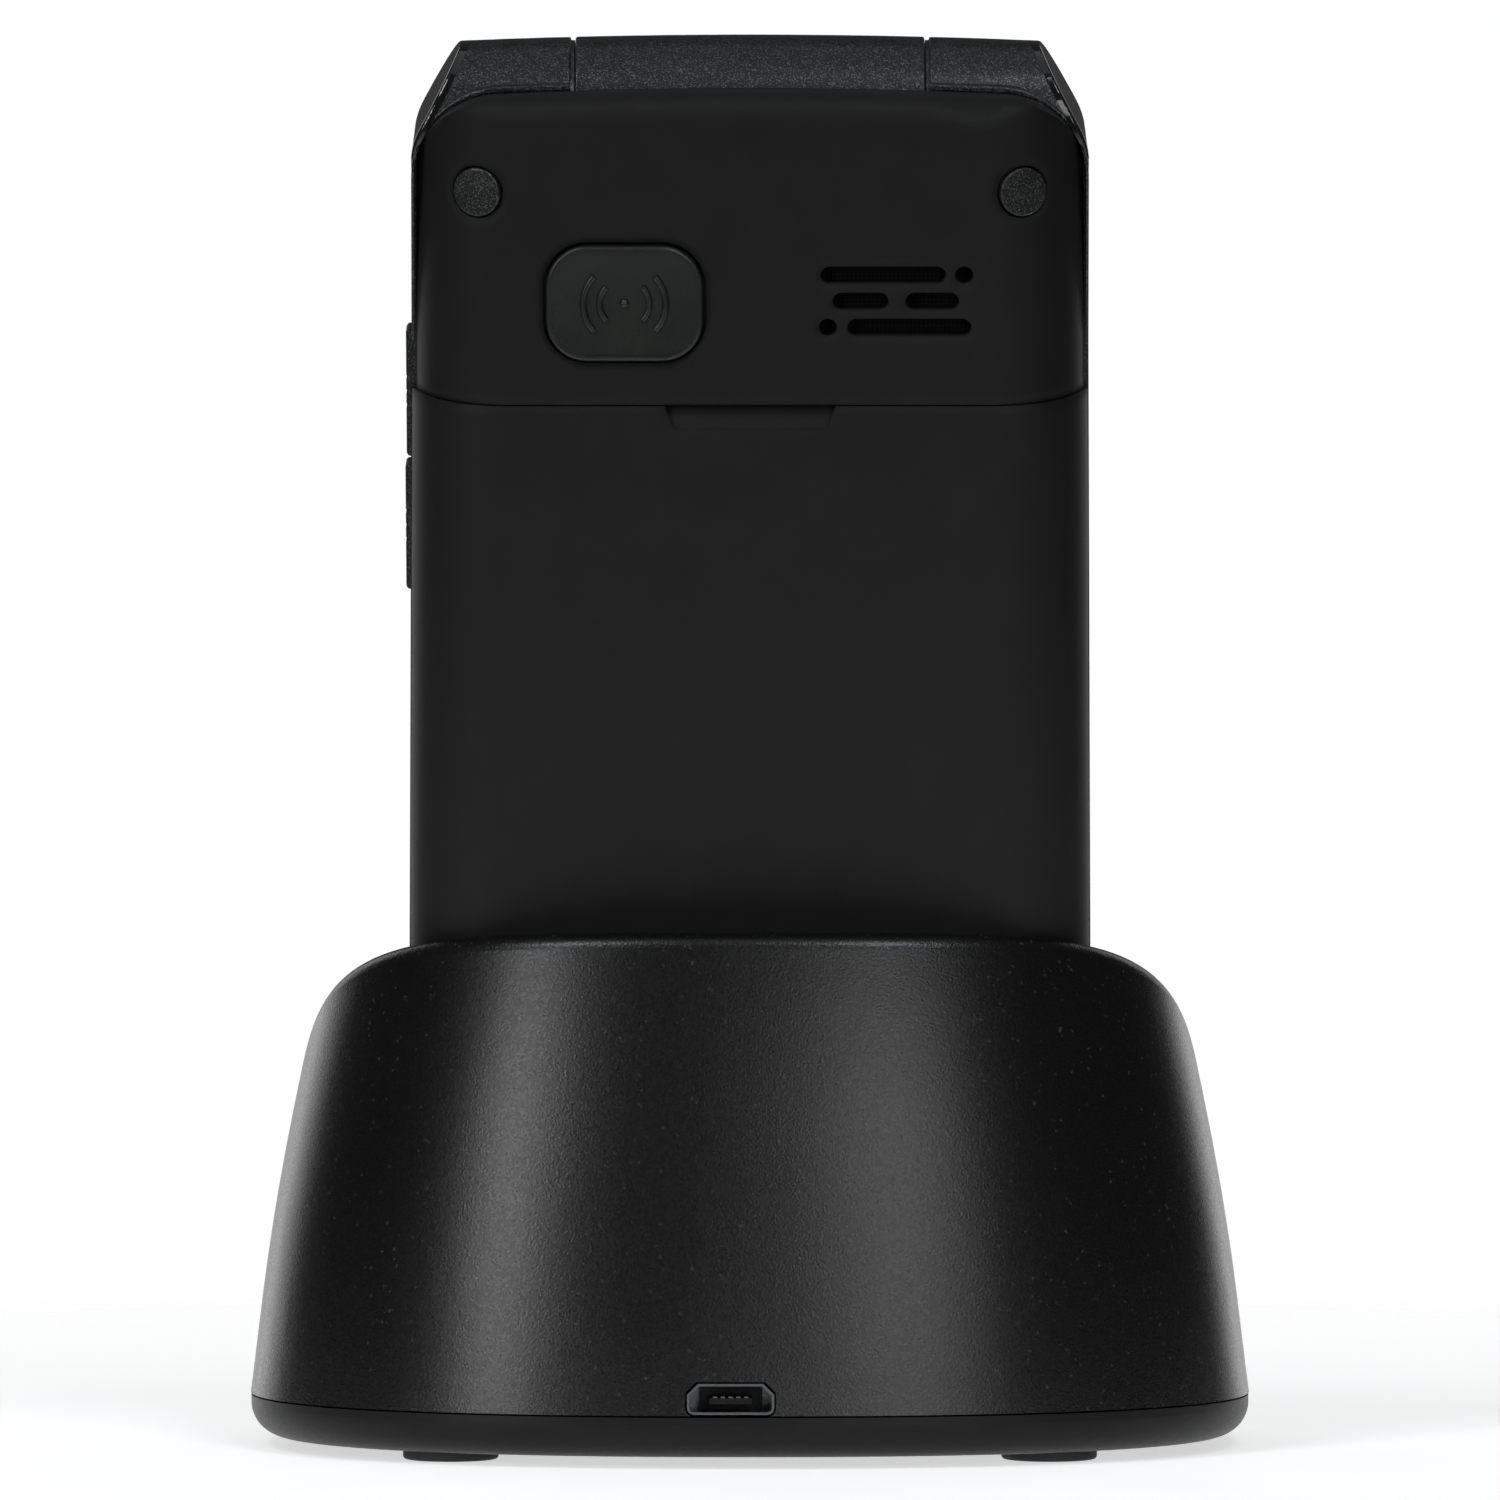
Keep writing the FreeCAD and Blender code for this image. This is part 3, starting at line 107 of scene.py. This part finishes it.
# ================================================================== node helpers
class Finish:
    """A material under construction: its node tree and its main shader."""

    def __init__(self, name):
        self.material = bpy.data.materials.new(name)
        self.material.use_nodes = True
        self.tree = self.material.node_tree
        self.shader = self.tree.nodes["Principled BSDF"]
        self.place = self.node("ShaderNodeTexCoord").outputs["Object"]

    def node(self, kind, **values):
        made = self.tree.nodes.new(kind)
        for key, value in values.items():
            setattr(made, key, value)
        return made

    def link(self, start, end):
        self.tree.links.new(start, end)

    def put(self, socket, value):
        if isinstance(value, bpy.types.NodeSocket):
            self.link(value, socket)
        else:
            socket.default_value = value

    def set(self, **values):
        """Shader inputs by name, with _ for a space."""
        for key, value in values.items():
            self.put(self.shader.inputs[key.replace("_", " ")], value)

    def noise(self, size, detail=2.0, rough=0.5, stretch=None):
        """Noise whose lumps are about this many metres across."""
        made = self.node("ShaderNodeTexNoise")
        self.put(made.inputs["Vector"], self.stretched(stretch))
        made.inputs["Scale"].default_value = 1 / size
        made.inputs["Detail"].default_value = detail
        made.inputs["Roughness"].default_value = rough
        return made.outputs["Fac"]

    def cells(self, size, output="Distance"):
        """Random cells about this many metres across."""
        made = self.node("ShaderNodeTexVoronoi", feature="F1")
        self.put(made.inputs["Vector"], self.place)
        made.inputs["Scale"].default_value = 1 / size
        return made.outputs[output]

    def stretched(self, factors):
        if factors is None:
            return self.place
        made = self.node("ShaderNodeMapping")
        self.put(made.inputs["Vector"], self.place)
        made.inputs["Scale"].default_value = factors
        return made.outputs["Vector"]

    def ramp(self, value, low, high, start=0.0, end=1.0):
        """value from low to high becomes start to end."""
        made = self.node("ShaderNodeMapRange")
        self.put(made.inputs["Value"], value)
        made.inputs["From Min"].default_value = low
        made.inputs["From Max"].default_value = high
        made.inputs["To Min"].default_value = start
        made.inputs["To Max"].default_value = end
        return made.outputs["Result"]

    def blend(self, factor, first, second):
        made = self.node("ShaderNodeMix", data_type="RGBA")
        self.put(made.inputs["Factor"], factor)
        self.put(made.inputs["A"], first)
        self.put(made.inputs["B"], second)
        return made.outputs["Result"]

    def math(self, operation, first, second=0.0):
        made = self.node("ShaderNodeMath", operation=operation)
        self.put(made.inputs[0], first)
        self.put(made.inputs[1], second)
        return made.outputs["Value"]

    def bump(self, height, depth, normal=None):
        """Relief of this depth in metres; chained through normal when there is more than one."""
        made = self.node("ShaderNodeBump")
        self.put(made.inputs["Height"], height)
        made.inputs["Distance"].default_value = depth
        if normal is not None:
            self.link(normal, made.inputs["Normal"])
        return made.outputs["Normal"]


def grey(level, warm=0.0):
    return (level * (1 + warm), level, level * (1 - warm), 1.0)


# ================================================================== finishes
def moulded(name, colour, rough, grain_size, grain_depth, rough_swing=0.06, tone=0.25):
    """Moulded plastic: spark-eroded grain, faint mottling in tone and gloss."""
    f = Finish(name)
    mottle = f.noise(4 * MM, 3.0)
    grain = f.noise(grain_size, 3.0, 0.6)
    dark = tuple(c * (1 - tone) for c in colour[:3]) + (1.0,)
    light = tuple(c * (1 + tone) for c in colour[:3]) + (1.0,)
    f.set(Base_Color=f.blend(f.ramp(mottle, 0.3, 0.7), dark, light),
          Roughness=f.ramp(grain, 0.3, 0.7, rough - rough_swing, rough + rough_swing),
          Normal=f.bump(grain, grain_depth))
    return f


def cradle_black():
    """Coarse spark-eroded texture: every grain catches the light on its own through its relief, and rare
    pale flecks in the base colour are painted glints.
    """
    f = Finish("cradle_black")
    grain = f.noise(0.14 * MM, 1.0, 0.5)
    pits = f.cells(0.19 * MM)
    patch = f.noise(7 * MM, 2.0)
    painted_glint_and_gloss = f.node("ShaderNodeSeparateColor")
    f.link(f.cells(0.2 * MM, "Color"), painted_glint_and_gloss.inputs["Color"])
    ground = f.blend(patch, grey(0.0024), grey(0.0036))
    relief = f.bump(pits, 0.011 * MM, f.bump(grain, 0.01 * MM))
    # rare cells get a pale base colour: painted glints standing in for grains that catch the light; the
    # same random cells also set the gloss
    f.set(Base_Color=f.blend(f.ramp(painted_glint_and_gloss.outputs["Red"], 0.985, 1.0), ground, grey(0.035)),
          Roughness=f.ramp(painted_glint_and_gloss.outputs["Green"], 0.0, 1.0, 0.25, 0.30),
          Specular_IOR_Level=0.45, Normal=relief)
    return f


def tray_black():
    f = moulded("tray_black", grey(0.003), 0.4, 0.25 * MM, 0.012 * MM)
    f.set(Specular_IOR_Level=0.2)
    return f


def rubber_black():
    return moulded("rubber_black", grey(0.014), 0.7, 0.6 * MM, 0.02 * MM)


def soft_touch_black():
    """Matt rubbery paint; it softens the look of the edges that it covers."""
    f = moulded("soft_touch_black", grey(0.0074), 0.55, 0.16 * MM, 0.006 * MM, 0.04, 0.12)
    soften = f.node("ShaderNodeBevel", samples=6)
    soften.inputs["Radius"].default_value = 1.4 * MM
    for link in f.shader.inputs["Normal"].links:
        f.link(soften.outputs["Normal"], link.from_node.inputs["Normal"])
    f.set(Specular_IOR_Level=0.2, Sheen_Weight=0.02, Sheen_Roughness=0.5)
    return f


def speckle_grey():
    """Dark metallic paint with bright flakes of different sizes and tilts."""
    f = Finish("speckle_grey")
    fine = f.cells(0.095 * MM, "Color")
    split = f.node("ShaderNodeSeparateColor")
    f.link(fine, split.inputs["Color"])
    flake = f.ramp(split.outputs["Red"], 0.5, 1.0)
    bright = f.math("POWER", flake, 2.5)
    cloud = f.noise(2.5 * MM, 2.0)
    ground = f.blend(cloud, grey(0.010, -0.03), grey(0.016, -0.04))
    f.set(Base_Color=f.blend(bright, ground, grey(0.13, -0.03)),
          Metallic=0.55,
          Roughness=f.ramp(split.outputs["Green"], 0.0, 1.0, 0.28, 0.5),
          Coat_Weight=0.2, Coat_Roughness=0.2,
          Normal=f.bump(split.outputs["Blue"], 0.012 * MM, f.bump(f.noise(0.3 * MM, 2.0), 0.02 * MM)))
    return f


def gloss_black():
    f = moulded("gloss_black", grey(0.006), 0.09, 6 * MM, 0.01 * MM, 0.03)
    f.set(Coat_Weight=0.5, Coat_Roughness=0.04)
    return f


def key_rubber():
    f = moulded("key_rubber", (0.012, 0.0138, 0.012, 1.0), 0.34, 0.2 * MM, 0.008 * MM, 0.05, 0.2)
    f.set(Specular_IOR_Level=0.42)
    return f


def key_grey():
    f = moulded("key_grey", grey(0.035), 0.42, 0.25 * MM, 0.008 * MM)
    f.set(Coat_Weight=0.15, Coat_Roughness=0.3)
    return f


def key_green():
    return moulded("key_green", (0.02, 0.30, 0.05, 1.0), 0.4, 0.25 * MM, 0.008 * MM, 0.05, 0.1)


def key_red():
    return moulded("key_red", (0.42, 0.02, 0.015, 1.0), 0.4, 0.25 * MM, 0.008 * MM, 0.05, 0.1)


def window():
    """Clear acrylic with a grey tint."""
    f = Finish("window")
    haze = f.noise(9 * MM, 2.0)
    f.set(Base_Color=f.blend(haze, grey(0.57), grey(0.60)),
          Roughness=f.ramp(haze, 0.3, 0.7, 0.015, 0.025),
          Transmission_Weight=1.0, IOR=1.49)
    return f


def display():
    """Liquid crystal panel, unlit: a dark grey-green cell with a faint pixel raster."""
    f = Finish("display")
    raster = f.node("ShaderNodeTexWave", wave_type="BANDS", bands_direction="X")
    f.put(raster.inputs["Vector"], f.place)
    raster.inputs["Scale"].default_value = 1200
    f.set(Base_Color=f.blend(raster.outputs["Fac"], (0.012, 0.014, 0.015, 1), (0.02, 0.023, 0.024, 1)),
          Roughness=f.ramp(f.noise(12 * MM), 0.3, 0.7, 0.24, 0.28))
    return f


def metal(name, colour, rough):
    """Bare metal with fine streaks across Z."""
    f = Finish(name)
    streak = f.noise(0.5 * MM, 3.0, 0.6, (1, 1, 12))
    dark = tuple(c * 0.82 for c in colour[:3]) + (1.0,)
    f.set(Base_Color=f.blend(streak, dark, colour),
          Metallic=1.0,
          Roughness=f.ramp(streak, 0.25, 0.75, rough - 0.06, rough + 0.08),
          Normal=f.bump(streak, 0.004 * MM))
    return f


def nickel():
    return metal("nickel", (0.13, 0.135, 0.14, 1.0), 0.3)


def gold():
    return metal("gold", (0.86, 0.62, 0.24, 1.0), 0.22)


def steel():
    return metal("steel", (0.48, 0.49, 0.50, 1.0), 0.32)


def circuit_green():
    f = Finish("circuit_green")
    tracks = f.node("ShaderNodeTexBrick")
    f.put(tracks.inputs["Vector"], f.place)
    tracks.inputs["Scale"].default_value = 700
    tracks.inputs["Color1"].default_value = (0.01, 0.11, 0.035, 1)
    tracks.inputs["Color2"].default_value = (0.012, 0.14, 0.045, 1)
    tracks.inputs["Mortar"].default_value = (0.03, 0.22, 0.08, 1)
    f.set(Base_Color=tracks.outputs["Color"], Roughness=f.ramp(f.noise(1 * MM), 0.3, 0.7, 0.3, 0.45),
          Normal=f.bump(tracks.outputs["Fac"], 0.02 * MM))
    return f


def mesh_black():
    """Woven acoustic cloth."""
    f = Finish("mesh_black")
    threads = []
    for direction in ("X", "Z"):
        wave = f.node("ShaderNodeTexWave", wave_type="BANDS", bands_direction=direction)
        f.put(wave.inputs["Vector"], f.place)
        wave.inputs["Scale"].default_value = 900
        threads.append(wave.outputs["Fac"])
    weave = f.math("MULTIPLY", threads[0], threads[1])
    f.set(Base_Color=f.blend(weave, grey(0.0016), grey(0.006)), Roughness=f.ramp(weave, 0, 1, 0.9, 0.7),
          Specular_IOR_Level=0.1,
          Normal=f.bump(weave, 0.05 * MM))
    return f


def battery_grey():
    return moulded("battery_grey", grey(0.09), 0.45, 0.4 * MM, 0.01 * MM)


def light_clear():
    f = Finish("light_clear")
    haze = f.noise(1.5 * MM, 2.0)
    f.set(Base_Color=f.blend(haze, (0.75, 0.8, 0.78, 1), (0.9, 0.93, 0.92, 1)),
          Roughness=f.ramp(haze, 0.3, 0.7, 0.08, 0.16), Transmission_Weight=0.85, IOR=1.5)
    return f


FINISHES = {make.__name__: make for make in (
    cradle_black, tray_black, rubber_black, soft_touch_black, speckle_grey, gloss_black, key_rubber,
    key_grey, key_green, key_red, window, display, nickel, gold, steel, circuit_green, mesh_black,
    battery_grey, light_clear)}


def finish_nodes():
    """Give every CAD node the finish of its material slot."""
    made = {}
    slot_of = {part["node"]: part["material_slot"] for part in frame["record"]["subparts"]}
    for name, node in NODES.items():
        slot = slot_of[name]
        if slot not in made:
            made[slot] = FINISHES[slot]().material
        node.data.materials.clear()
        node.data.materials.append(made[slot])


# ================================================================== key legends
def legend_white():
    """Screen-printed pale ink."""
    f = Finish("legend_white")
    wear = f.noise(0.3 * MM, 2.0)
    f.set(Base_Color=f.blend(wear, grey(0.62), grey(0.74)), Roughness=f.ramp(wear, 0.3, 0.7, 0.4, 0.55))
    return f


def key_face(key):
    """Placing matrix in the middle of a key's front face: X across, Y up, Z out of the face."""
    points = [NODES[key].matrix_world @ vertex.co for vertex in NODES[key].data.vertices]
    middle = Vector((0, 0, 0))
    for direction in (RIGHT, UP):
        reach = [point.dot(direction) for point in points]
        middle += direction * (min(reach) + max(reach)) / 2
    middle += OUT * max(point.dot(OUT) for point in points)
    return Matrix.Translation(middle) @ Matrix((RIGHT, UP, OUT)).transposed().to_4x4()


def print_on(key, name, mesh, ink, at=(0.0, 0.0), turn=0.0):
    """Stand a flat mesh on a key's face, so that it moves with the key."""
    across, up = at
    piece = bpy.data.objects.new(name, mesh)
    bpy.context.scene.collection.objects.link(piece)
    shift = Matrix.Translation((across * MM, up * MM, LEGEND_LIFT))
    piece.matrix_world = key_face(key) @ shift @ Matrix.Rotation(math.radians(turn), 4, "Z")
    mesh.materials.clear()
    mesh.materials.append(ink)
    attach(piece, key)


def lettering(text, tall):
    """Mesh of one line of lettering, with capitals this many millimetres tall."""
    curve = bpy.data.curves.new(text, "FONT")
    curve.body = text
    curve.size = tall * MM / CAPITAL_SHARE
    curve.align_x = "CENTER"
    curve.align_y = "CENTER"
    curve.resolution_u = 4
    curve.extrude = LEGEND_LIFT / 2
    holder = bpy.data.objects.new(text, curve)
    bpy.context.scene.collection.objects.link(holder)
    bpy.context.view_layer.update()
    mesh = bpy.data.meshes.new_from_object(holder.evaluated_get(bpy.context.evaluated_depsgraph_get()))
    bpy.data.objects.remove(holder)
    return mesh


def plate(outline):
    """Thin plate with this outline, given in millimetres."""
    count = len(outline)
    low, high = -LEGEND_LIFT / 2, LEGEND_LIFT / 2
    corners = [(x * MM, y * MM, z) for z in (low, high) for x, y in outline]
    faces = [list(range(count, 2 * count)), list(range(count))[::-1]]
    faces += [[i, (i + 1) % count, count + (i + 1) % count, count + i] for i in range(count)]
    mesh = bpy.data.meshes.new("plate")
    mesh.from_pydata(corners, [], faces)
    return mesh


def band(outside, inside):
    """Thin flat band between two outlines with the same number of points."""
    count = len(outside)
    low, high = -LEGEND_LIFT / 2, LEGEND_LIFT / 2
    corners = [(x * MM, y * MM, z) for z in (low, high) for x, y in outside + inside]
    faces = []
    for i in range(count):
        j = (i + 1) % count
        faces.append([2 * count + i, 2 * count + j, 3 * count + j, 3 * count + i])
        faces.append([j, i, count + i, count + j])
        faces.append([i, j, 2 * count + j, 2 * count + i])
        faces.append([count + j, count + i, 3 * count + i, 3 * count + j])
    mesh = bpy.data.meshes.new("band")
    mesh.from_pydata(corners, [], faces)
    return mesh


def arc(radius, start, end, steps):
    """Points on a circle, from one angle in degrees to the other."""
    angles = [math.radians(start + (end - start) * i / steps) for i in range(steps + 1)]
    return [(radius * math.cos(a), radius * math.sin(a)) for a in angles]


def handset():
    """Outline of a receiver lying on its back: an arched grip with an ear cup at each end."""
    shape = arc(GRIP_OUTER, 8, 172, 24)
    shape += arc(GRIP_CUP, 172, 140, 4)
    shape += arc(GRIP_INNER, 136, 44, 16)
    shape += arc(GRIP_CUP, 40, 8, 4)
    return [(x, y - GRIP_DROP) for x, y in shape]


def ring():
    """Flat ring; the last point of each full circle repeats the first, so it is left out."""
    return band(arc(RING_OUTER, 0, 360, RING_STEPS)[:-1], arc(RING_INNER, 0, 360, RING_STEPS)[:-1])


def make_legends():
    ink = legend_white().material
    for key in sorted(NODES):
        sign = key[4:]
        if not key.startswith("key_") or sign in DRAWN_KEYS:
            continue
        letters = LETTERS.get(sign)
        across = DIGIT_ACROSS if letters else 0.0
        print_on(key, "legend_" + sign, lettering(SIGNS.get(sign, sign), DIGIT_TALL), ink, (across, 0.0))
        if letters:
            print_on(key, "letters_" + sign, lettering(letters, LETTERS_TALL), ink, LETTERS_AT)
    print_on("key_call", "legend_call", plate(handset()), ink, CALL_AT, CALL_TURN)
    print_on("key_end", "legend_end", plate(handset()), ink, END_AT)
    for side in ("left", "right"):
        print_on("key_soft_" + side, "legend_soft_" + side, plate(DASH), ink)
    for turn in (0, 90, 180, 270):
        a = math.radians(turn)
        place = (-ARROW_ACROSS * math.sin(a), ARROW_UP * math.cos(a))
        print_on("key_navigation", "legend_arrow_%d" % turn, plate(ARROW), ink, place, turn)
    print_on("key_navigation", "legend_ring", ring(), ink)


# ================================================================== studio
def add_light(name, azimuth, elevation, distance, width, tall, radiance, tint):
    """Softbox round the object; azimuth 0 is on the +Y side and turns towards +X."""
    data = bpy.data.lights.new(name, "AREA")
    data.shape = "RECTANGLE"
    data.size = width
    data.size_y = tall
    data.energy = radiance * math.pi * width * tall
    data.color = tint
    lamp = bpy.data.objects.new(name, data)
    bpy.context.scene.collection.objects.link(lamp)
    a, e = math.radians(azimuth), math.radians(elevation)
    away = Vector((math.sin(a) * math.cos(e), math.cos(a) * math.cos(e), math.sin(e)))
    lamp.location = LIGHT_AIM + away * distance
    lamp.rotation_mode = "QUATERNION"
    lamp.rotation_quaternion = (-away).to_track_quat("-Z", "Y")
    lamp.visible_camera = False


def make_lights():
    for name, values in LIGHTS.items():
        add_light(name, *values)


def make_world():
    world = bpy.data.worlds.new("studio")
    world.use_nodes = True
    background = world.node_tree.nodes["Background"]
    background.inputs["Color"].default_value = (1, 1, 1, 1)
    background.inputs["Strength"].default_value = WORLD_LIGHT
    bpy.context.scene.world = world


def make_floor():
    """Pale floor disc that melts into the white room at its edge."""
    angles = [2 * math.pi * i / FLOOR_STEPS for i in range(FLOOR_STEPS)]
    edge = [(FLOOR_RADIUS * math.cos(a), FLOOR_RADIUS * math.sin(a), 0) for a in angles]
    mesh = bpy.data.meshes.new("floor")
    mesh.from_pydata(edge, [], [list(range(FLOOR_STEPS))])
    floor = bpy.data.objects.new("floor", mesh)
    bpy.context.scene.collection.objects.link(floor)
    f = Finish("floor")
    length = f.node("ShaderNodeVectorMath", operation="LENGTH")
    f.link(f.place, length.inputs[0])
    f.set(Base_Color=f.blend(f.noise(60 * MM), grey(0.88), grey(0.92)),
          Roughness=f.ramp(f.noise(20 * MM), 0.3, 0.7, 0.5, 0.6),
          Emission_Color=grey(1.0), Emission_Strength=FLOOR_GLOW)
    clear = f.node("ShaderNodeBsdfTransparent")
    mix = f.node("ShaderNodeMixShader")
    f.link(f.ramp(length.outputs["Value"], *FLOOR_FADE), mix.inputs["Fac"])
    f.link(f.shader.outputs["BSDF"], mix.inputs[1])
    f.link(clear.outputs["BSDF"], mix.inputs[2])
    f.link(mix.outputs["Shader"], f.tree.nodes["Material Output"].inputs["Surface"])
    mesh.materials.append(f.material)


def make_room():
    """White surround that only the camera sees, so that the black object isn't washed out by it."""
    bpy.ops.mesh.primitive_uv_sphere_add(segments=64, ring_count=32, radius=ROOM_RADIUS)
    room = bpy.context.object
    room.name = "room"
    f = Finish("room")
    glow = f.node("ShaderNodeEmission")
    glow.inputs["Color"].default_value = (1, 1, 1, 1)
    glow.inputs["Strength"].default_value = 1.0
    f.link(glow.outputs["Emission"], f.tree.nodes["Material Output"].inputs["Surface"])
    room.data.materials.append(f.material)
    room.visible_diffuse = False
    room.visible_glossy = False
    room.visible_transmission = False
    room.visible_shadow = False


def make_camera():
    low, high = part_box("cradle_shell")
    data = bpy.data.cameras.new("camera")
    data.lens = LENS
    data.sensor_width = SENSOR
    data.clip_start = 0.05
    data.clip_end = 20
    camera = bpy.data.objects.new("camera", data)
    bpy.context.scene.collection.objects.link(camera)
    camera.location = (0, (low.y + high.y) / 2 + CAMERA_AWAY, CAMERA_HEIGHT)
    sight = Vector((0, -math.cos(CAMERA_PITCH), -math.sin(CAMERA_PITCH)))
    camera.rotation_mode = "QUATERNION"
    camera.rotation_quaternion = sight.to_track_quat("-Z", "Y")
    bpy.context.scene.camera = camera


# ================================================================== making
make_camera()
make_world()
make_lights()
make_floor()
make_room()
finish_nodes()
make_legends()
bpy.context.scene.view_settings.view_transform = "Standard"
